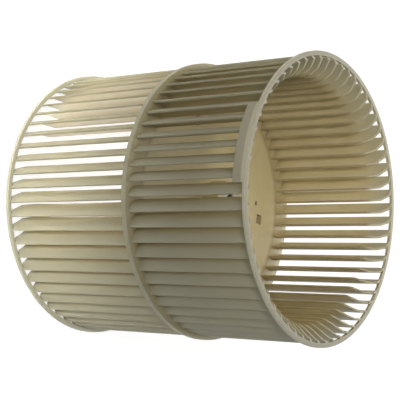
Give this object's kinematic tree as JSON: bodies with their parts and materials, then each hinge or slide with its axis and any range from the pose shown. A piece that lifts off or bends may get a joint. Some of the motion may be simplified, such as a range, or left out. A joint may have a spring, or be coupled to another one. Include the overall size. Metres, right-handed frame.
{
  "type": "blower wheel",
  "caption": "Double-inlet centrifugal blower wheel of moulded plastic with two rows of forward-curved blades, a centre plate and a metal hub bush for the shaft.",
  "frame": {"origin": "centre of the left end ring's outer face, which the wheel stands on", "axes": "+Z along the shaft bore, up from the left inlet to the right inlet; +X where the row angles start"},
  "size_m": [0.254, 0.254, 0.26],
  "materials": {
    "moulded_plastic": "natural cream moulding, low sheen",
    "bush_metal": "turned",
    "screw_steel": "black oxide"
  },
  "bodies": {
    "root": {"left_half": "moulded_plastic", "right_half": "moulded_plastic", "hub_bush": "bush_metal", "set_screw": "screw_steel"}
  },
  "joints": []
}
